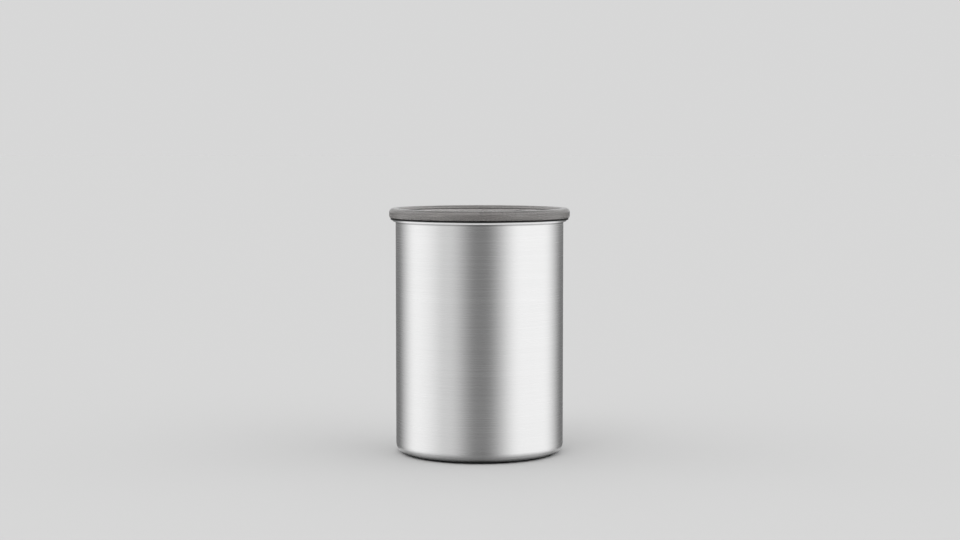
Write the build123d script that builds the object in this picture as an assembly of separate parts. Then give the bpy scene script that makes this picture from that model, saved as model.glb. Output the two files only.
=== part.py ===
from build123d import *
import os
from math import asin, cos, degrees, pi, radians, sin, sqrt, tan

# A push-down vacuum canister for coffee beans: a drawn steel pot with a rolled rim, a clear lid that
# presses onto the rim, and an inner lid that slides down the pot like a piston. The inner lid has a
# rubber seal round its edge and an air valve under a turret in its middle. A wire handle turns an
# eccentric in the turret: folded, it presses the valve shut, and upright, it lets the spring lift it.
# The origin is the middle of the base on the table, +Z is up, and all sizes are in millimetres.

# Steel pot
body_radius = 63.0
rim_height = 177.2
sheet = 0.6
base_corner_radius = 7.4
curl_radius = 1.6
curl_end_angle = -115.0
foot_width = 5.0
base_recess = 2.0
base_step_run = 2.4
base_bend_radius = 1.2

# Clear outer lid
lid_fit_gap = 0.35
lid_rest_gap = 0.3
lid_height = 6.6
lid_panel = 2.0
lid_recess = 3.6
lid_centre_radius = 44.0
lid_centre_drop = 1.6
lid_centre_slope = 1.4
lid_crown_width = 7.0
lid_crown_draft = 0.7
lid_crown_radius = 3.0
lid_crown_inner_radius = 2.2
lid_edge_radius = 1.5
lid_bend_radius = 0.8
skirt_overhang = 1.0
skirt_thickness = 1.7
skirt_drop = 0.7
plug_gap = 0.5
plug_wall = 1.9
plug_depth = 5.1
plug_lead = 0.6

# Gasket between the lid and the rolled rim
gasket_lip = 0.85
gasket_lip_drop = 1.2
gasket_thickness = 2.0
gasket_side_gap = 0.05

# Inner lid: plate, cover and seal
seal_gap = 0.3
lip_reach = 1.9
seal_seat_depth = 2.8
hub_wall = 2.2
flange_thickness = 3.0
flange_round = 1.1
bowl_depth = 12.0
bowl_draft = 1.4
bowl_round = 3.0
floor_thickness = 2.0
cover_space = 2.2
cover_thickness = 2.2
cover_edge_radius = 1.9
cover_lap = 1.4
joint_gap = 0.1
seal_root = 1.9
seal_fin = 1.1
seal_tip = 0.7
seal_fin_rise = 1.0
seal_fin_inset = 1.0
travel_bottom_gap = 0.6

# Ribs, handle rests and screws of the plate
rib_count = 8
rib_width = 1.4
rib_drop = 1.6
rest_width = 5.0
rest_spread = 11.0
rest_grip = 0.7
rest_groove_gap = 0.3
rest_round = 1.0
screw_count = 4
screw_circle_radius = 36.0
screw_shank_radius = 1.25
screw_head_radius = 2.6
screw_head_height = 1.2
screw_head_sink = 0.2
screw_tip_gap = 0.9
boss_radius = 3.4
screw_hole_gap = 0.1

# Air valve in the middle of the plate
port_radius = 4.5
seat_width = 1.2
seat_height = 0.8
seat_gap = 0.05
plug_disc_radius = 7.2
plug_disc_thickness = 2.0
carrier_radius = 10.6
carrier_guide_gap = 0.3
carrier_hub_height = 1.1
carrier_brim_thickness = 1.1
spigot_radius = 2.1
barb_radius = 2.9
barb_height = 1.4
spring_wire = 0.6
spring_radius = 9.2
spring_turns = 3
spring_end_gap = 0.05
screen_radius = 11.9
screen_ledge = 0.8
screen_ledge_width = 1.0
screen_hole_radius = 1.5
screen_ring_radius = 6.4
screen_ring_holes = 8
collar_lap = 1.2
collar_wall = 2.0

# Turret, eccentric and wire handle
eccentric_margin = 0.1
valve_lift = 2.0
eccentric_half_length = 4.0
follower_gap = 0.15
axle_wall = 1.15
axle_gap = 0.1
axle_collar_radius = 4.2
axle_collar_length = 2.0
collar_gap = 0.3
housing_wall = 3.1
housing_flange = 3.6
housing_flange_thickness = 1.6
housing_boss_height = 4.4
housing_screw_count = 4
housing_screw_radius = 0.9
housing_screw_head_radius = 1.7
housing_screw_head_height = 0.9
window_width = 7.0
window_height = 2.0
cap_thickness = 1.8
cap_round = 1.3
head_room = 0.5
wire_radius = 1.6
wire_hole_depth = 7.5
wire_hole_gap = 0.05
handle_reach = 30.0
handle_half_width = 26.0
handle_shoulder_gap = 3.4
handle_shoulder_radius = 3.2
handle_corner_radius = 9.0
upright_clearance = 1.0

# One overrun for all cutting tools, and how much of an edge its two roundings may take
cut_over = 1.0
edge_fill_share = 0.98

# Sizes that follow from the ones above
bore_radius = body_radius - sheet
curl_centre_r = bore_radius + curl_radius
curl_centre_z = rim_height - curl_radius
curl_outer_radius = curl_centre_r + curl_radius

lip_outer_radius = curl_outer_radius + lid_fit_gap + gasket_lip
lid_radius = lip_outer_radius + skirt_overhang
skirt_inner_radius = lid_radius - skirt_thickness
lid_seat = rim_height + lid_rest_gap
skirt_bottom = lid_seat - skirt_drop
lid_top = lid_seat + lid_height
channel_top = lid_seat + gasket_thickness
panel_top = lid_top - lid_recess
panel_bottom = panel_top - lid_panel
centre_top = panel_top - lid_centre_drop
centre_bottom = centre_top - lid_panel
plug_radius = bore_radius - plug_gap
plug_bottom = rim_height - plug_depth

socket_radius = wire_radius + wire_hole_gap
axle_radius = socket_radius + axle_wall
eccentricity = valve_lift / 2 / sin(pi / 4)
eccentric_radius = axle_radius + eccentricity + eccentric_margin
plug_height = seat_height + seat_gap
brim_height = plug_height + plug_disc_thickness + carrier_hub_height
carrier_height = brim_height + carrier_brim_thickness
axle_height = carrier_height + follower_gap + eccentric_radius + valve_lift / 2
housing_bore = carrier_radius + carrier_guide_gap
housing_radius = housing_bore + housing_wall
housing_height = axle_height + eccentric_radius + valve_lift / 2 + head_room
axle_half_length = housing_radius + collar_gap + axle_collar_length

plunger_top = (centre_bottom - upright_clearance - wire_radius - handle_reach
               - axle_height + bowl_depth)
floor_top = plunger_top - bowl_depth
floor_bottom = floor_top - floor_thickness
axle_z = floor_top + axle_height
cover_top = floor_bottom - cover_space
cover_bottom = cover_top - cover_thickness
seal_top = plunger_top - flange_thickness
seal_bottom = floor_bottom + cover_lap
lip_radius = bore_radius - seal_gap
plate_radius = lip_radius - lip_reach
hub_radius = plate_radius - seal_seat_depth
bowl_radius = hub_radius - hub_wall
bowl_floor_radius = bowl_radius - bowl_draft
screen_hole = screen_radius + joint_gap
plunger_travel = cover_bottom - base_recess - sheet - travel_bottom_gap
screw_seat = cover_bottom + screw_head_sink + screw_head_height
screw_tip = floor_top - screw_tip_gap


def fitted_radii(points, radii):
    """The corner radii of a closed outline, made smaller where an edge is too short for them."""
    count = len(points)
    steps = [Vector(*points[(i + 1) % count]) - Vector(*points[i]) for i in range(count)]
    reach = [radii[i] * tan(radians(steps[i - 1].get_angle(steps[i])) / 2) for i in range(count)]
    fill = []
    for i in range(count):
        needed = reach[i] + reach[(i + 1) % count]
        room = steps[i].length * edge_fill_share
        fill.append(room / needed if needed > room else 1)
    return [radii[i] * min(fill[i - 1], fill[i]) for i in range(count)]


def outline(*corners):
    """A closed face in the (r, z) plane. Each corner is (r, z) or (r, z, corner radius)."""
    points = [corner[:2] for corner in corners]
    radii = [corner[2] if len(corner) > 2 else 0 for corner in corners]
    return make_face(FilletPolyline(*points, radius=fitted_radii(points, radii), close=True).edges())


def rounded_path(*corners):
    """An open path of straight runs and arcs, from corners written as for an outline."""
    points = [corner[:2] for corner in corners]
    radii = [corner[2] if len(corner) > 2 else 0 for corner in corners]
    return FilletPolyline(*points, radius=fitted_radii(points, radii)[1:-1])


def turned(face):
    """A solid of revolution about Z from a face drawn in (r, z)."""
    return revolve(Plane.XZ * face, Axis.Z)


def drum(radius, low, high):
    """An upright cylinder on the Z axis between two heights."""
    return Pos(0, 0, low) * Cylinder(radius, high - low, align=(Align.CENTER, Align.CENTER, Align.MIN))


def bar_along_x(radius, low_x, high_x, z=0):
    """A round bar along X between two places, at a height."""
    shape = Rot(0, 90, 0) * Cylinder(radius, high_x - low_x)
    return Pos((low_x + high_x) / 2, 0, z) * shape


def block(low, high):
    """A box between two corners."""
    size = [b - a for a, b in zip(low, high)]
    middle = [(a + b) / 2 for a, b in zip(low, high)]
    return Pos(*middle) * Box(*size)


def canister_body():
    """The pot: one drawn sheet from the middle of the base, up the wall and round the rolled rim."""
    half = sheet / 2
    panel = base_recess + half
    foot_inner = body_radius - base_corner_radius - foot_width
    wall = rounded_path(
        (0, panel),
        (foot_inner - base_step_run, panel, base_bend_radius),
        (foot_inner, half, base_bend_radius),
        (body_radius - half, half, base_corner_radius - half),
        (body_radius - half, curl_centre_z),
    )
    curl = CenterArc((curl_centre_r, curl_centre_z), curl_radius - half, 180, curl_end_angle - 180)
    return turned(trace(wall.edges() + curl.edges(), sheet))


def outer_lid():
    """The clear lid: a crowned rim over the gasket, a sunk panel with a deeper middle, and a plug ring."""
    crown_inner = lid_radius - lid_crown_width
    recess_radius = crown_inner - lid_crown_draft
    centre_edge = lid_centre_radius + lid_centre_slope
    return turned(outline(
        (0, centre_top),
        (lid_centre_radius, centre_top, lid_bend_radius),
        (centre_edge, panel_top, lid_bend_radius),
        (recess_radius, panel_top, lid_bend_radius),
        (crown_inner, lid_top, lid_crown_inner_radius),
        (lid_radius, lid_top, lid_crown_radius),
        (lid_radius, skirt_bottom, lid_edge_radius),
        (skirt_inner_radius, skirt_bottom),
        (skirt_inner_radius, channel_top),
        (plug_radius, channel_top),
        (plug_radius, plug_bottom + plug_lead),
        (plug_radius - plug_lead, plug_bottom),
        (plug_radius - plug_wall, plug_bottom),
        (plug_radius - plug_wall, panel_bottom),
        (centre_edge, panel_bottom),
        (lid_centre_radius, centre_bottom),
        (0, centre_bottom),
    ))


def lid_gasket():
    """The dark ring in the lid's channel. It sits over the rolled rim, and its lip shows below the lid."""
    clearance = curl_radius + lid_rest_gap
    lip_bottom = skirt_bottom - gasket_lip_drop
    angle = asin((lip_bottom - curl_centre_z) / clearance)
    inner = plug_radius + gasket_side_gap
    outer = skirt_inner_radius - gasket_side_gap
    over_rim = CenterArc((curl_centre_r, curl_centre_z), clearance, 90, degrees(angle) - 90)
    sides = Polyline(
        over_rim @ 1,
        (lip_outer_radius, lip_bottom),
        (lip_outer_radius, skirt_bottom),
        (outer, skirt_bottom),
        (outer, channel_top),
        (inner, channel_top),
        (inner, lid_seat),
        over_rim @ 0,
    )
    return turned(make_face(over_rim.edges() + sides.edges()))


def screw_places():
    return PolarLocations(screw_circle_radius, screw_count, start_angle=180 / screw_count)


def housing_screw_places():
    circle = housing_radius + housing_flange / 2
    return PolarLocations(circle, housing_screw_count, start_angle=180 / housing_screw_count)


def handle_rest(side):
    """A post on the bowl floor with a round groove in its top, where the folded handle's bar lies."""
    half = rest_width / 2
    post = block((-half, -half, floor_top), (half, half, axle_z - rest_grip))
    post = fillet(post.edges() | Axis.Z, rest_round)
    groove = bar_along_x(wire_radius + rest_groove_gap, -half - cut_over, half + cut_over)
    return Pos(side * rest_spread, -handle_reach, 0) * (post - Pos(0, 0, axle_z) * groove)


def plunger_plate():
    """The inner lid's upper moulding: flange, seal hub, bowl and handle rests above, ribs and bosses below."""
    seat_radius = port_radius + seat_width
    plate = turned(outline(
        (port_radius, floor_bottom),
        (hub_radius, floor_bottom),
        (hub_radius, seal_top),
        (plate_radius, seal_top),
        (plate_radius, plunger_top, flange_round),
        (bowl_radius, plunger_top, flange_round),
        (bowl_floor_radius, floor_top, bowl_round),
        (seat_radius, floor_top),
        (seat_radius, floor_top + seat_height),
        (port_radius, floor_top + seat_height),
    ))
    collar_bore = drum(screen_radius - collar_lap, cover_top, floor_bottom)
    plate += drum(screen_radius - collar_lap + collar_wall, cover_top, floor_bottom) - collar_bore
    for place in screw_places():
        plate += place * drum(boss_radius, cover_top, floor_bottom)
    for place in PolarLocations(0, rib_count):
        plate += place * block((screw_circle_radius, -rib_width / 2, floor_bottom - rib_drop),
                               (hub_radius - hub_wall, rib_width / 2, floor_bottom))
    for side in (-1, 1):
        plate += handle_rest(side)
    for place in screw_places():
        plate -= place * drum(screw_shank_radius + screw_hole_gap, cover_top - cut_over, screw_tip)
    hole = drum(housing_screw_radius + screw_hole_gap, floor_bottom - cut_over, floor_top + cut_over)
    for place in housing_screw_places():
        plate -= place * hole
    return plate


def plunger_cover():
    """The inner lid's lower moulding: a shallow dish that holds the seal and the screen from below."""
    clear = hub_radius + joint_gap
    ledge_radius = screen_radius - screen_ledge_width
    cover = turned(outline(
        (ledge_radius, cover_bottom),
        (plate_radius, cover_bottom, cover_edge_radius),
        (plate_radius, seal_bottom),
        (clear, seal_bottom),
        (clear, cover_top),
        (screen_hole, cover_top),
        (screen_hole, cover_bottom + screen_ledge),
        (ledge_radius, cover_bottom + screen_ledge),
    ))
    low = cover_bottom - cut_over
    hole = drum(screw_shank_radius + screw_hole_gap, low, cover_top + cut_over)
    hole += drum(screw_head_radius + screw_hole_gap, low, screw_seat)
    for place in screw_places():
        cover -= place * hole
    return cover


def intake_screen():
    """The pierced disc in the middle of the cover, which keeps beans out of the valve."""
    low, high = cover_bottom + screen_ledge, cover_top
    screen = drum(screen_radius, low, high)
    hole = drum(screen_hole_radius, low - cut_over, high + cut_over)
    screen -= hole
    for place in PolarLocations(screen_ring_radius, screen_ring_holes):
        screen -= place * hole
    return screen


def plunger_seal():
    """The rubber ring round the inner lid, with one fin that leans up and one that leans down."""
    root_in = hub_radius + joint_gap
    root_out = root_in + seal_root
    upper = seal_top - seal_fin_inset - seal_fin
    lower = seal_bottom + seal_fin_inset + seal_fin
    return turned(outline(
        (root_in, seal_bottom),
        (root_out, seal_bottom),
        (root_out, lower - seal_fin),
        (lip_radius, lower - seal_fin_rise - seal_tip / 2),
        (lip_radius, lower - seal_fin_rise + seal_tip / 2),
        (root_out, lower),
        (root_out, upper),
        (lip_radius, upper + seal_fin_rise - seal_tip / 2),
        (lip_radius, upper + seal_fin_rise + seal_tip / 2),
        (root_out, upper + seal_fin),
        (root_out, seal_top),
        (root_in, seal_top),
    ))


def screw(shank_radius, shank_length, head_radius, head_height):
    """A screw on the Z axis, head at the bottom, with the head's upper face at zero."""
    return drum(shank_radius, 0, shank_length) + drum(head_radius, -head_height, 0)


def plunger_screws():
    """The screws that hold the cover to the plate."""
    one = screw(screw_shank_radius, screw_tip - screw_seat, screw_head_radius, screw_head_height)
    return Compound([place * Pos(0, 0, screw_seat) * one for place in screw_places()])


def housing_screws():
    """The small screws that hold the turret from below, through the floor."""
    length = floor_thickness + housing_boss_height - housing_flange_thickness
    one = screw(housing_screw_radius, length, housing_screw_head_radius, housing_screw_head_height)
    return Compound([place * Pos(0, 0, floor_bottom) * one for place in housing_screw_places()])


def valve_housing():
    """The turret: a bore that guides the valve, air windows at its foot, and open saddles for the axle."""
    top = floor_top + housing_height
    housing = drum(housing_radius, floor_top, top)
    housing += drum(housing_radius + housing_flange, floor_top, floor_top + housing_flange_thickness)
    for place in housing_screw_places():
        housing += place * drum(housing_flange / 2, floor_top, floor_top + housing_boss_height)
    housing -= drum(housing_bore, floor_top - cut_over, top + cut_over)
    reach = housing_radius + cut_over
    saddle = axle_radius + axle_gap
    housing -= bar_along_x(saddle, -reach, reach, axle_z)
    housing -= block((-reach, -saddle, axle_z), (reach, saddle, top + cut_over))
    window_low = floor_top + housing_flange_thickness
    for place in PolarLocations(0, housing_screw_count):
        housing -= place * block((0, -window_width / 2, window_low),
                                 (reach, window_width / 2, window_low + window_height))
    hole_top = floor_top + housing_boss_height - housing_flange_thickness
    for place in housing_screw_places():
        housing -= place * drum(housing_screw_radius + screw_hole_gap, floor_top - cut_over, hole_top)
    return housing


def valve_cap():
    """The turret's cap, with a tongue each side that closes the saddle over the axle."""
    low = floor_top + housing_height
    cap = turned(outline(
        (0, low),
        (housing_radius, low),
        (housing_radius, low + cap_thickness, cap_round),
        (0, low + cap_thickness),
    ))
    tongue = axle_radius
    tongue_low = axle_z + axle_radius + axle_gap
    ring = drum(housing_radius - joint_gap, tongue_low, low) - drum(housing_bore + joint_gap, tongue_low, low)
    return cap + (ring & block((-housing_radius, -tongue, tongue_low), (housing_radius, tongue, low)))


def both_ends(shape):
    """A shape and its mirror image across the middle plane."""
    return shape + mirror(shape, about=Plane.YZ)


def cam_axle():
    """The axle across the turret: an eccentric in the middle, a collar and a wire socket at each end."""
    shift = valve_lift / 2
    end = axle_half_length
    axle = bar_along_x(axle_radius, -end, end)
    eccentric = bar_along_x(eccentric_radius, -eccentric_half_length, eccentric_half_length)
    axle += Pos(0, -shift, -shift) * eccentric
    axle += both_ends(bar_along_x(axle_collar_radius, end - axle_collar_length, end))
    axle -= both_ends(bar_along_x(socket_radius, end - wire_hole_depth, end + cut_over))
    return Pos(0, 0, axle_z) * axle


def handle_bail():
    """The wire handle, folded towards the front, with its ends inside the axle's sockets."""
    tip = axle_half_length - wire_hole_depth
    shoulder = axle_half_length + handle_shoulder_gap
    path = rounded_path(
        (-tip, 0),
        (-shoulder, 0, handle_shoulder_radius),
        (-handle_half_width, -handle_reach, handle_corner_radius),
        (handle_half_width, -handle_reach, handle_corner_radius),
        (shoulder, 0, handle_shoulder_radius),
        (tip, 0),
    )
    section = Plane(origin=(-tip, 0, 0), z_dir=(-1, 0, 0)) * Circle(wire_radius)
    return Pos(0, 0, axle_z) * sweep(section, path=path)


def valve_carrier():
    """The piston that carries the plug: a flat top under the eccentric, a brim over the spring, a barb."""
    plug_low = floor_top + plug_height
    plug_top = plug_low + plug_disc_thickness
    brim = floor_top + brim_height
    top = floor_top + carrier_height
    return turned(outline(
        (0, top),
        (carrier_radius, top),
        (carrier_radius, brim),
        (plug_disc_radius, brim),
        (plug_disc_radius, plug_top),
        (spigot_radius, plug_top),
        (spigot_radius, plug_low),
        (barb_radius, plug_low),
        (spigot_radius, plug_low - barb_height),
        (0, plug_low - barb_height),
    ))


def valve_plug():
    """The rubber disc that closes the port, pushed over the carrier's spigot."""
    low = floor_top + plug_height
    high = low + plug_disc_thickness
    hole = drum(spigot_radius + joint_gap, low - cut_over, high + cut_over)
    return drum(plug_disc_radius, low, high) - hole


def spring_point(turn):
    """A point on the spring's line and its direction, after so many turns."""
    rise = brim_height - spring_wire - 2 * spring_end_gap
    low = floor_top + spring_end_gap + spring_wire / 2
    angle = 2 * pi * turn
    point = Vector(spring_radius * cos(angle), spring_radius * sin(angle), low + rise * turn / spring_turns)
    slope = rise / spring_turns / (2 * pi * spring_radius)
    return point, Vector(-sin(angle), cos(angle), slope).normalized()


def valve_spring():
    """The spring round the plug, which lifts the carrier: a wire swept on half turns of a helix."""
    arcs = []
    for half_turn in range(2 * spring_turns):
        arcs += biarc(*spring_point(half_turn / 2), *spring_point((half_turn + 1) / 2))
    section = Plane(origin=arcs[0] @ 0, z_dir=arcs[0] % 0) * Circle(spring_wire / 2)
    points = [spring_point(step / 36)[0] for step in range(36 * spring_turns + 1)]
    gaps = [(b - a).length for i, a in enumerate(points) for b in points[i + 18:]]
    print("spring's least gap to itself", round(min(gaps) - spring_wire, 3), "mm")
    return sweep(section, path=Wire(arcs))


def biarc(start, start_dir, end, end_dir):
    """Two arcs that join smoothly, from one point and direction to another."""
    chord = end - start
    total = start_dir + end_dir
    a = 2 * (1 - start_dir.dot(end_dir))
    b = 2 * chord.dot(total)
    reach = (-b + sqrt(b * b + 4 * a * chord.dot(chord))) / (2 * a)
    middle = (start + end + (start_dir - end_dir) * reach) * 0.5
    join_dir = (end - end_dir * reach) - (start + start_dir * reach)
    return [Edge.make_tangent_arc(start, start_dir, middle),
            Edge.make_tangent_arc(middle, join_dir.normalized(), end)]


parts = {
    "canister_body": canister_body,
    "outer_lid": outer_lid,
    "lid_gasket": lid_gasket,
    "plunger_plate": plunger_plate,
    "plunger_cover": plunger_cover,
    "plunger_seal": plunger_seal,
    "plunger_screws": plunger_screws,
    "intake_screen": intake_screen,
    "valve_housing": valve_housing,
    "housing_screws": housing_screws,
    "valve_cap": valve_cap,
    "cam_axle": cam_axle,
    "handle_bail": handle_bail,
    "valve_carrier": valve_carrier,
    "valve_plug": valve_plug,
    "valve_spring": valve_spring,
}

os.makedirs("parts", exist_ok=True)
for name, make in parts.items():
    export_step(make(), f"parts/{name}.step")
print("inner lid's top", round(plunger_top, 3), "and travel", round(plunger_travel, 3), "mm")
print("axle's height", round(axle_z, 3), "and bowl floor's height", round(floor_top, 3), "mm")
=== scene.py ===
from math import cos, pi, radians, sin

import bpy
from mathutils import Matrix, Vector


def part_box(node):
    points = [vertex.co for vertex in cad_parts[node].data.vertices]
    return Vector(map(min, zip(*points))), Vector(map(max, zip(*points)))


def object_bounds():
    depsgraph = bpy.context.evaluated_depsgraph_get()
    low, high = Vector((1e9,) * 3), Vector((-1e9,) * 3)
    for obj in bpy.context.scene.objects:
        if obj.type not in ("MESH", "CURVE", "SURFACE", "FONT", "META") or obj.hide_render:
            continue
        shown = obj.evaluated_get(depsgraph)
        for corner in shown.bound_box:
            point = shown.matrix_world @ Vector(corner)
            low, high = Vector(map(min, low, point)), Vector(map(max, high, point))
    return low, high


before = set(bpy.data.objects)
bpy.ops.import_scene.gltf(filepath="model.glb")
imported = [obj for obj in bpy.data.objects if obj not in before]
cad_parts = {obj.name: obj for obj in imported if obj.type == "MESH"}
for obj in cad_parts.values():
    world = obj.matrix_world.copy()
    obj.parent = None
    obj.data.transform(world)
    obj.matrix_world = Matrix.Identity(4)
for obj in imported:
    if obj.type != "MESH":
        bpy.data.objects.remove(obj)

# A closed vacuum canister: a brushed steel pot, a smoke-tinted clear lid with a dark gasket, and inside
# it a black inner lid with a wire handle. Lengths are in metres, in the frame's own axes, and the finishes'
# places are worked out from the lid's and the pot's outermost radius and top.
mm = 0.001
scene = bpy.context.scene
cad_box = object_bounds()
lid_radius = cad_box[1][0]
lid_top = cad_box[1][2]
pot_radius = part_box("canister_body")[1][0]
pot_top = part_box("canister_body")[1][2]

# Camera, from the photograph's perspective. The picture is taken as 960 by 540 pixels.
picture_width = 960
focal_pixels = 1805
axis_column = 479.5
camera_distance = 1356.5 * mm
camera_height = 231.2 * mm
camera_pitch = 3.96
nearest_seen = 10 * mm
sensor_width = 36

# Studio. Each soft window of light stands at an azimuth from the camera's side, to the right positive,
# and has the half width of its bright part and its fade, all in degrees, and then its strength. Where a
# light changes with height, its low and high are the upward part of a direction.
ambient = 0.20
windows = (
    (-98, 0, 50, 1.18),
    (-50, 6, 42, 0.70),
    (78, 20, 52, 1.20),
)
window_top_low = 0.6
window_top_high = 0.9
window_top_share = 0.3
overhead_low = 0.12
overhead_high = 0.5
overhead_strength = 0.75
back_azimuth = 115
back_fade = 40
back_low = -0.02
back_high = 0.03
back_strength = 0.4
floor_glow_low = -0.50
floor_glow_high = -0.30
floor_glow_strength = 0.85
sun_strength = 0.4
sun_spread = 30
sun_pitch = 28
sun_roll = -14

# Floor and backdrop, which look the same from the front, so that no horizon shows
floor_reach = 40
floor_shade = 0.48
floor_roughness = 0.8
backdrop_shade = 0.682

# Mirror card under the pot: a painted shadow of the pot, dark to light between two radii, painted shade
# where it is seen steeply, and gone between two ray lengths
card_radius = lid_radius + 14 * mm
card_sides = 96
card_dark_radius = lid_radius - 13.8 * mm
card_light_radius = lid_radius - 0.8 * mm
card_painted_shadow = 0.15
card_steep_slant = 0.5
card_flat_slant = 0.85
card_steep_painted_shade = 0.3
card_roughness = 0.1
card_near = 12 * mm
card_far = 24 * mm

# Lid's tint, with painted light. Rings on the inner side of the crown are painted shade and painted
# highlight lines that stand in for the dark and light lines at the bends of the clear plastic: each is a
# depth below the lid's top, a half height and the shade that it gives.
smoke_dark = (0.335, 0.320, 0.312)
smoke_light = (0.365, 0.349, 0.340)
smoke_refraction = 1.49
smoke_smooth = 0.03
smoke_rough = 0.07
haze_scale = 60
haze_relief = 0.03
mark_scales = (300, 1400, 900)
mark_low = 0.35
mark_high = 0.75
panel_clearness = 0.92
crown_clearness = 0.68
panel_radius = lid_radius - 7.8 * mm
painted_light_rings = (
    (2.45 * mm, 0.55 * mm, 0.06),
    (3.25 * mm, 0.40 * mm, 2.80),
    (3.80 * mm, 0.45 * mm, 0.20),
)
ring_core_share = 0.6
ring_inner_radius = lid_radius - 10.8 * mm
ring_outer_radius = lid_radius - 5.8 * mm
tint_fade = 0.8 * mm
# The crown's outer face is painted lighter, and a band along its top is painted darker.
face_painted_light = 1.25
crown_low = lid_top - 1.9 * mm
crown_high = lid_top - 0.5 * mm
crown_painted_shade = 0.5

# Pot's steel. A painted highlight runs along one line of the rolled rim, and a painted shade darkens the
# wall in the fold below it.
steel_dark = (0.61, 0.61, 0.611)
steel_light = (0.65, 0.65, 0.651)
steel_smooth = 0.24
steel_rough = 0.28
steel_anisotropy = 0.75
steel_quarter_turn = 0.25
brush_length = 120 * mm
brush_pitch = 0.3 * mm
brush_share = 0.8
brush_relief = 0.015
broad_scales = (9, 9, 160)
broad_share = 0.2
rim_radius = pot_radius - 2.5 * mm
rim_highlight_line = pot_top - 2.7 * mm
rim_core = 0.35 * mm
rim_half_height = 0.7 * mm
rim_highlight = 1.45
rim_fade = 0.2 * mm
fold_radius = pot_radius - 2.9 * mm
fold_low = pot_top - 4.5 * mm
fold_high = pot_top - 3.7 * mm
fold_painted_shade = 0.62

# Other finishes: the range that a noise mostly fills, the depth of the reliefs, and the patterns' sizes
noise_low = 0.3
noise_high = 0.7
mould_depth = 0.05 * mm
metal_depth = 0.02 * mm
cloud_scale = 90
scratch_stretch = 0.12
scratch_relief = 0.06


def grey(shade):
    """An opaque grey as a colour socket takes it."""
    return shade, shade, shade, 1


def node_material(name):
    """A new node material, with its tree and its main shader."""
    material = bpy.data.materials.new(name)
    material.use_nodes = True
    tree = material.node_tree
    return material, tree, tree.nodes["Principled BSDF"]


def math_node(tree, operation, first, second=None):
    """A Math node on one or two inputs, each a socket or a number."""
    node = tree.nodes.new("ShaderNodeMath")
    node.operation = operation
    for place, value in enumerate((first, second)):
        if isinstance(value, (int, float)):
            node.inputs[place].default_value = value
        elif value is not None:
            tree.links.new(value, node.inputs[place])
    return node.outputs[0]


def added(tree, first, second):
    """The sum of two values."""
    return math_node(tree, "ADD", first, second)


def times(tree, first, second):
    """The product of two values."""
    return math_node(tree, "MULTIPLY", first, second)


def between(tree, factor, first, second):
    """A value between two, by a factor."""
    step = times(tree, factor, math_node(tree, "SUBTRACT", second, first))
    return added(tree, step, first)


def ranged(tree, value, low, high, to_low, to_high, way="LINEAR"):
    """A value mapped from one range to another and held within it."""
    node = tree.nodes.new("ShaderNodeMapRange")
    node.interpolation_type = way
    tree.links.new(value, node.inputs["Value"])
    for name, number in (("From Min", low), ("From Max", high), ("To Min", to_low), ("To Max", to_high)):
        node.inputs[name].default_value = number
    return node.outputs["Result"]


def eased(tree, value, low, high, to_low, to_high):
    """A value mapped from one range to another with a soft start and end."""
    return ranged(tree, value, low, high, to_low, to_high, way="SMOOTHSTEP")


def band(tree, value, middle, core, edge, inside, outside):
    """A value that is inside's up to the core on both sides of the middle, and outside's past the edge."""
    away = math_node(tree, "ABSOLUTE", math_node(tree, "SUBTRACT", value, middle))
    return eased(tree, away, core, edge, inside, outside)


def object_place(tree):
    """The coordinates of the surface in the object's own axes, which are the frame's."""
    return tree.nodes.new("ShaderNodeTexCoord").outputs["Object"]


def split(tree, vector):
    """The three parts of a vector."""
    node = tree.nodes.new("ShaderNodeSeparateXYZ")
    tree.links.new(vector, node.inputs[0])
    return node.outputs


def scaled(tree, vector, factors):
    """A vector with each part multiplied by its own factor."""
    node = tree.nodes.new("ShaderNodeVectorMath")
    node.operation = "MULTIPLY"
    tree.links.new(vector, node.inputs[0])
    node.inputs[1].default_value = factors
    return node.outputs[0]


def scaled_by(tree, vector, factor):
    """A vector or colour multiplied by one value."""
    node = tree.nodes.new("ShaderNodeVectorMath")
    node.operation = "SCALE"
    tree.links.new(vector, node.inputs[0])
    tree.links.new(factor, node.inputs["Scale"])
    return node.outputs[0]


def distance(tree, vector):
    """The length of a vector."""
    node = tree.nodes.new("ShaderNodeVectorMath")
    node.operation = "LENGTH"
    tree.links.new(vector, node.inputs[0])
    return node.outputs["Value"]


def axis_distance(tree, place):
    """The distance from the Z axis."""
    return distance(tree, scaled(tree, place, (1, 1, 0)))


def noise(tree, vector, scale, detail=2, roughness=0.5):
    """A noise value about one half, on a vector."""
    node = tree.nodes.new("ShaderNodeTexNoise")
    tree.links.new(vector, node.inputs["Vector"])
    node.inputs["Scale"].default_value = scale
    node.inputs["Detail"].default_value = detail
    node.inputs["Roughness"].default_value = roughness
    return node.outputs["Fac"]


def blend_colours(tree, factor, low, high):
    """A colour between two, by a factor."""
    node = tree.nodes.new("ShaderNodeMix")
    node.data_type = "RGBA"
    tree.links.new(factor, node.inputs["Factor"])
    node.inputs["A"].default_value = (*low, 1)
    node.inputs["B"].default_value = (*high, 1)
    return node.outputs["Result"]


def mix_shaders(tree, factor, first, second):
    """A shader between two, by a factor."""
    mix = tree.nodes.new("ShaderNodeMixShader")
    for place, output in enumerate((factor, first.outputs[0], second.outputs[0])):
        tree.links.new(output, mix.inputs[place])
    return mix.outputs[0]


def add_bump(tree, shader, height, strength, depth):
    """Fine relief on a shader from a height value."""
    bump = tree.nodes.new("ShaderNodeBump")
    bump.inputs["Strength"].default_value = strength
    bump.inputs["Distance"].default_value = depth
    tree.links.new(height, bump.inputs["Height"])
    tree.links.new(bump.outputs[0], shader.inputs["Normal"])


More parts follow.
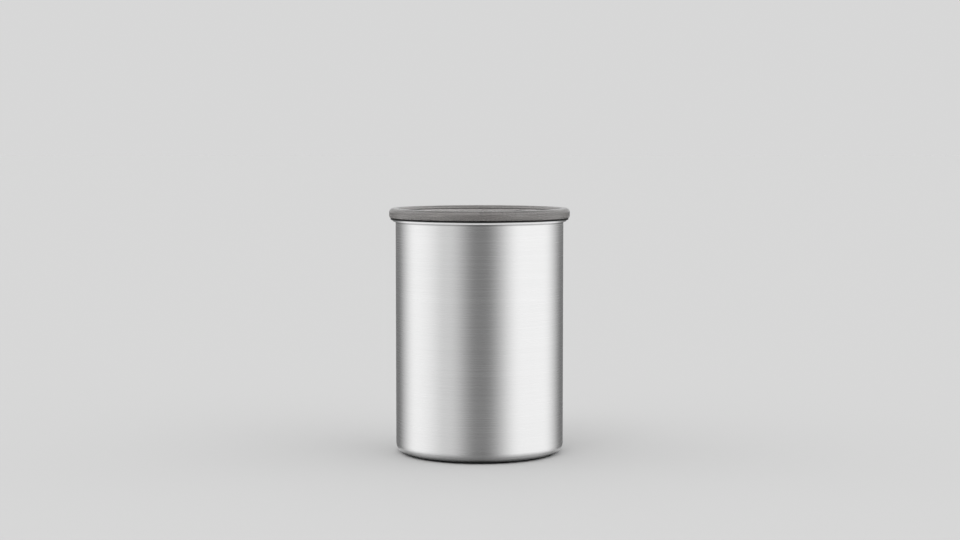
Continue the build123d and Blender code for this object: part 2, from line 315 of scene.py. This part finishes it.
def around_axis(tree, place):
    """Coordinates in which a noise, stretched along X and Y, runs in rings on the wall and on the base."""
    parts = split(tree, place)
    whole = tree.nodes.new("ShaderNodeCombineXYZ")
    tree.links.new(parts[0], whole.inputs[0])
    tree.links.new(parts[1], whole.inputs[1])
    tree.links.new(added(tree, parts[2], axis_distance(tree, place)), whole.inputs[2])
    return whole.outputs[0]


def set_camera():
    """The camera of the photograph, a little above the lid and pitched down to the pot."""
    camera = bpy.data.objects.new("camera", bpy.data.cameras.new("camera"))
    scene.collection.objects.link(camera)
    camera.data.sensor_width = sensor_width
    camera.data.lens = focal_pixels / picture_width * sensor_width
    camera.data.clip_start = nearest_seen
    side = (picture_width / 2 - axis_column) / focal_pixels * camera_distance
    camera.location = (side, -camera_distance, camera_height)
    camera.rotation_euler = (radians(90 - camera_pitch), 0, 0)
    scene.camera = camera


def window_light(tree, azimuth, upward):
    """The light of the windows and of the room between them, weaker towards the zenith."""
    total = ambient
    for middle, half_width, fade, strength in windows:
        edge = radians(half_width + fade)
        glow = band(tree, azimuth, radians(middle), radians(half_width), edge, strength, 0)
        total = added(tree, total, glow)
    level = eased(tree, upward, window_top_low, window_top_high, 1, window_top_share)
    return times(tree, total, level)


def back_light(tree, azimuth, upward):
    """A glow behind the pot, above the horizon, which the clear lid lets through."""
    edge = radians(back_azimuth + back_fade)
    behind = band(tree, azimuth, 0, radians(back_azimuth), edge, 0, 1)
    rising = eased(tree, upward, back_low, back_high, 0, back_strength)
    return times(tree, behind, rising)


def room_light(tree):
    """The room's light by direction: windows, overhead and back glow above, the floor's glow below."""
    parts = split(tree, tree.nodes.new("ShaderNodeTexCoord").outputs["Generated"])
    upward = parts[2]
    azimuth = math_node(tree, "ARCTAN2", parts[0], times(tree, parts[1], -1))
    overhead = eased(tree, upward, overhead_low, overhead_high, 0, overhead_strength)
    room = added(tree, window_light(tree, azimuth, upward), overhead)
    room = added(tree, room, back_light(tree, azimuth, upward))
    above = eased(tree, upward, floor_glow_low, floor_glow_high, 0, 1)
    below = eased(tree, upward, floor_glow_low, floor_glow_high, floor_glow_strength, 0)
    return added(tree, times(tree, room, above), below)


def set_world():
    """The room's light, seen in reflections, and a pale backdrop for the camera."""
    world = bpy.data.worlds.new("studio")
    scene.world = world
    world.use_nodes = True
    tree = world.node_tree
    light = tree.nodes["Background"]
    light.inputs["Color"].default_value = grey(1)
    tree.links.new(room_light(tree), light.inputs["Strength"])
    backdrop = tree.nodes.new("ShaderNodeBackground")
    backdrop.inputs["Color"].default_value = grey(backdrop_shade)
    by_camera = tree.nodes.new("ShaderNodeLightPath").outputs["Is Camera Ray"]
    tree.links.new(mix_shaders(tree, by_camera, light, backdrop), tree.nodes["World Output"].inputs[0])


def set_sun():
    """A broad soft light from above, the front and the left, which gives the shadow on the floor."""
    sun = bpy.data.objects.new("soft_light", bpy.data.lights.new("soft_light", "SUN"))
    scene.collection.objects.link(sun)
    sun.data.energy = sun_strength
    sun.data.angle = radians(sun_spread)
    sun.rotation_euler = (radians(sun_pitch), radians(sun_roll), 0)
    sun.visible_glossy = False


def flat_plate(name, corners, material):
    """One flat face of the studio, on the plane that the pot stands on."""
    mesh = bpy.data.meshes.new(name)
    mesh.from_pydata([(x, y, 0) for x, y in corners], [], [range(len(corners))])
    mesh.materials.append(material)
    plate = bpy.data.objects.new(name, mesh)
    scene.collection.objects.link(plate)
    return plate


def set_floor():
    """A pale floor that carries the shadow. Reflections look past it into the room."""
    material, _, shader = node_material("pale_floor")
    shader.inputs["Base Color"].default_value = grey(floor_shade)
    shader.inputs["Roughness"].default_value = floor_roughness
    shader.inputs["Specular IOR Level"].default_value = 0
    corners = [(x * floor_reach, y * floor_reach) for x, y in ((-1, -1), (1, -1), (1, 1), (-1, 1))]
    floor = flat_plate("floor", corners, material)
    floor.visible_glossy = False


def mirror_card():
    """A mirror with a painted shadow under the pot and painted shade where it is seen steeply, and clear to
    rays from far off.
    """
    material, tree, shader = node_material("mirror_card")
    tree.nodes.remove(shader)
    radius = distance(tree, object_place(tree))
    # Painted shadow of the pot, dark under it and light past it, and painted shade where the card is seen
    # steeply
    shade = eased(tree, radius, card_dark_radius, card_light_radius, card_painted_shadow, 1)
    slant = tree.nodes.new("ShaderNodeLayerWeight").outputs["Facing"]
    steep = eased(tree, slant, card_steep_slant, card_flat_slant, card_steep_painted_shade, 1)
    gloss = tree.nodes.new("ShaderNodeBsdfAnisotropic")
    gloss.inputs["Roughness"].default_value = card_roughness
    tree.links.new(times(tree, shade, steep), gloss.inputs["Color"])
    travel = tree.nodes.new("ShaderNodeLightPath").outputs["Ray Length"]
    far = eased(tree, travel, card_near, card_far, 0, 1)
    clear = tree.nodes.new("ShaderNodeBsdfTransparent")
    tree.links.new(mix_shaders(tree, far, gloss, clear), tree.nodes["Material Output"].inputs["Surface"])
    return material


def set_card():
    """The mirror under the pot, which only reflections from close by see."""
    turns = [2 * pi * side / card_sides for side in range(card_sides)]
    corners = [(card_radius * cos(turn), card_radius * sin(turn)) for turn in turns]
    card = flat_plate("card", corners, mirror_card())
    card.visible_camera = False
    card.visible_diffuse = False
    card.visible_transmission = False
    card.visible_shadow = False


def painted_rim_light(tree, place):
    """The steel's painted light by its place: one on the wall, a painted shade in the fold, a painted
    highlight along the rolled rim.
    """
    height = split(tree, place)[2]
    radius = axis_distance(tree, place)
    outside = eased(tree, radius, fold_radius, fold_radius + rim_fade, 0, 1)
    on_roll = eased(tree, radius, rim_radius, rim_radius + rim_fade, 0, 1)
    roll = band(tree, height, rim_highlight_line, rim_core, rim_half_height, rim_highlight, 1)
    fold = eased(tree, height, fold_low, fold_high, 1, fold_painted_shade)
    return between(tree, outside, 1, between(tree, on_roll, fold, roll))


def brushed_steel():
    """Stainless sheet with fine brushing that runs round the pot."""
    material, tree, shader = node_material("brushed_steel")
    shader.inputs["Metallic"].default_value = 1
    shader.inputs["Anisotropic"].default_value = steel_anisotropy
    shader.inputs["Anisotropic Rotation"].default_value = steel_quarter_turn
    tangent = tree.nodes.new("ShaderNodeTangent")
    tangent.direction_type = "RADIAL"
    tangent.axis = "Z"
    tree.links.new(tangent.outputs[0], shader.inputs["Tangent"])
    place = object_place(tree)
    rings = around_axis(tree, place)
    stretched = scaled(tree, rings, (1 / brush_length, 1 / brush_length, 1 / brush_pitch))
    brush = noise(tree, stretched, 1, detail=3, roughness=0.6)
    broad = noise(tree, scaled(tree, rings, broad_scales), 1)
    shade = added(tree, times(tree, brush, brush_share), times(tree, broad, broad_share))
    spread = ranged(tree, shade, noise_low, noise_high, 0, 1)
    colour = blend_colours(tree, spread, steel_dark, steel_light)
    # Base colour times the painted highlight along the rolled rim and the painted shade in the fold below it
    tree.links.new(scaled_by(tree, colour, painted_rim_light(tree, place)), shader.inputs["Base Color"])
    roughness = ranged(tree, brush, noise_low, noise_high, steel_smooth, steel_rough)
    tree.links.new(roughness, shader.inputs["Roughness"])
    add_bump(tree, shader, brush, brush_relief, metal_depth)
    return material


def painted_lid_light(tree, place):
    """The lid's painted light by its place: painted dark and light rings inside the crown, painted lighter
    on its outer face, painted darker along its top.
    """
    height = split(tree, place)[2]
    radius = axis_distance(tree, place)
    rings = 1
    for depth, half_height, shade in painted_light_rings:
        core = half_height * ring_core_share
        rings = times(tree, rings, band(tree, height, lid_top - depth, core, half_height, shade, 1))
    past_inner = eased(tree, radius, ring_inner_radius - tint_fade, ring_inner_radius, 0, 1)
    short_of_outer = eased(tree, radius, ring_outer_radius, ring_outer_radius + tint_fade, 1, 0)
    rings = between(tree, times(tree, past_inner, short_of_outer), 1, rings)
    face = eased(tree, radius, ring_outer_radius, ring_outer_radius + tint_fade, 1, face_painted_light)
    top = eased(tree, height, crown_low, crown_high, 1, crown_painted_shade)
    return times(tree, rings, times(tree, face, top))


def smoke_plastic():
    """The clear lid's smoke-tinted plastic, clearer in its flat panel, glossy with faint wiping marks."""
    material, tree, shader = node_material("smoke_plastic")
    shader.inputs["IOR"].default_value = smoke_refraction
    place = object_place(tree)
    radius = axis_distance(tree, place)
    fade_start = panel_radius - tint_fade
    clearness = eased(tree, radius, fade_start, panel_radius, panel_clearness, crown_clearness)
    tree.links.new(clearness, shader.inputs["Transmission Weight"])
    haze = noise(tree, place, haze_scale, detail=1)
    tint = blend_colours(tree, haze, smoke_dark, smoke_light)
    # The tint carries the painted rings, the painted lighter outer face and the painted darker crown top
    tree.links.new(scaled_by(tree, tint, painted_lid_light(tree, place)), shader.inputs["Base Color"])
    marks = noise(tree, scaled(tree, place, mark_scales), 1, detail=4, roughness=0.65)
    roughness = ranged(tree, marks, mark_low, mark_high, smoke_smooth, smoke_rough)
    tree.links.new(roughness, shader.inputs["Roughness"])
    add_bump(tree, shader, haze, haze_relief, mould_depth)
    return material


def moulded(name, dark, light, smooth_end, rough_end, grain, relief, gloss=0.5):
    """A moulded plastic or rubber: slight colour change, uneven gloss and a fine grain."""
    material, tree, shader = node_material(name)
    shader.inputs["Specular IOR Level"].default_value = gloss
    place = object_place(tree)
    cloud = noise(tree, place, cloud_scale, detail=3)
    fine = noise(tree, place, 1 / grain, roughness=0.6)
    tree.links.new(blend_colours(tree, cloud, dark, light), shader.inputs["Base Color"])
    roughness = ranged(tree, fine, noise_low, noise_high, smooth_end, rough_end)
    tree.links.new(roughness, shader.inputs["Roughness"])
    add_bump(tree, shader, fine, relief, mould_depth)
    return material


def bright_metal(name, dark, light, smooth_end, rough_end, scratch):
    """Drawn or turned steel with fine scratches."""
    material, tree, shader = node_material(name)
    shader.inputs["Metallic"].default_value = 1
    stretched = scaled(tree, object_place(tree), (1 / scratch, scratch_stretch / scratch, 1 / scratch))
    lines = noise(tree, stretched, 1, detail=3, roughness=0.6)
    spread = ranged(tree, lines, noise_low, noise_high, 0, 1)
    tree.links.new(blend_colours(tree, spread, dark, light), shader.inputs["Base Color"])
    roughness = ranged(tree, lines, noise_low, noise_high, smooth_end, rough_end)
    tree.links.new(roughness, shader.inputs["Roughness"])
    add_bump(tree, shader, lines, scratch_relief, metal_depth)
    return material


def black_silicone():
    """Dull dark rubber of the outer lid's gasket."""
    return moulded(
        "black_silicone", dark=(0.005, 0.005, 0.005), light=(0.009, 0.009, 0.009),
        smooth_end=0.55, rough_end=0.70, grain=0.5 * mm, relief=0.05, gloss=0.15,
    )


def black_plastic():
    """Finely textured black of the inner lid's mouldings."""
    return moulded(
        "black_plastic", dark=(0.020, 0.020, 0.022), light=(0.030, 0.030, 0.032),
        smooth_end=0.36, rough_end=0.52, grain=0.4 * mm, relief=0.25,
    )


def grey_silicone():
    """Satin grey rubber of the seal that runs on the wall."""
    return moulded(
        "grey_silicone", dark=(0.17, 0.17, 0.175), light=(0.22, 0.22, 0.225),
        smooth_end=0.50, rough_end=0.62, grain=0.6 * mm, relief=0.06,
    )


def dark_acetal():
    """Smooth dark grey of the turret's cap and the axle."""
    return moulded(
        "dark_acetal", dark=(0.040, 0.040, 0.044), light=(0.055, 0.055, 0.060),
        smooth_end=0.24, rough_end=0.34, grain=0.7 * mm, relief=0.06,
    )


def white_acetal():
    """Smooth off-white of the valve's carrier."""
    return moulded(
        "white_acetal", dark=(0.70, 0.69, 0.66), light=(0.76, 0.75, 0.72),
        smooth_end=0.30, rough_end=0.40, grain=0.6 * mm, relief=0.05,
    )


def valve_silicone():
    """Milky rubber of the valve's plug."""
    return moulded(
        "valve_silicone", dark=(0.50, 0.50, 0.48), light=(0.58, 0.58, 0.56),
        smooth_end=0.42, rough_end=0.50, grain=0.6 * mm, relief=0.05,
    )


def steel_wire():
    """Polished steel of the handle, the screen and the spring."""
    return bright_metal(
        "steel_wire", dark=(0.60, 0.60, 0.61), light=(0.70, 0.70, 0.71),
        smooth_end=0.12, rough_end=0.22, scratch=0.3 * mm,
    )


def screw_steel():
    """Plain steel of the screws."""
    return bright_metal(
        "screw_steel", dark=(0.48, 0.48, 0.49), light=(0.58, 0.58, 0.59),
        smooth_end=0.22, rough_end=0.34, scratch=0.4 * mm,
    )


def dress(material, *nodes):
    """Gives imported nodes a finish."""
    for node in nodes:
        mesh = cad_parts[node].data
        mesh.materials.clear()
        mesh.materials.append(material)


scene.view_settings.view_transform = "Standard"
set_camera()
set_world()
set_sun()
set_floor()
set_card()

dress(brushed_steel(), "canister_body")
dress(smoke_plastic(), "outer_lid")
dress(black_silicone(), "lid_gasket")
dress(black_plastic(), "plunger_plate", "plunger_cover", "valve_housing")
dress(grey_silicone(), "plunger_seal")
dress(dark_acetal(), "valve_cap", "cam_axle")
dress(white_acetal(), "valve_carrier")
dress(valve_silicone(), "valve_plug")
dress(steel_wire(), "handle_bail", "intake_screen", "valve_spring")
dress(screw_steel(), "plunger_screws", "housing_screws")
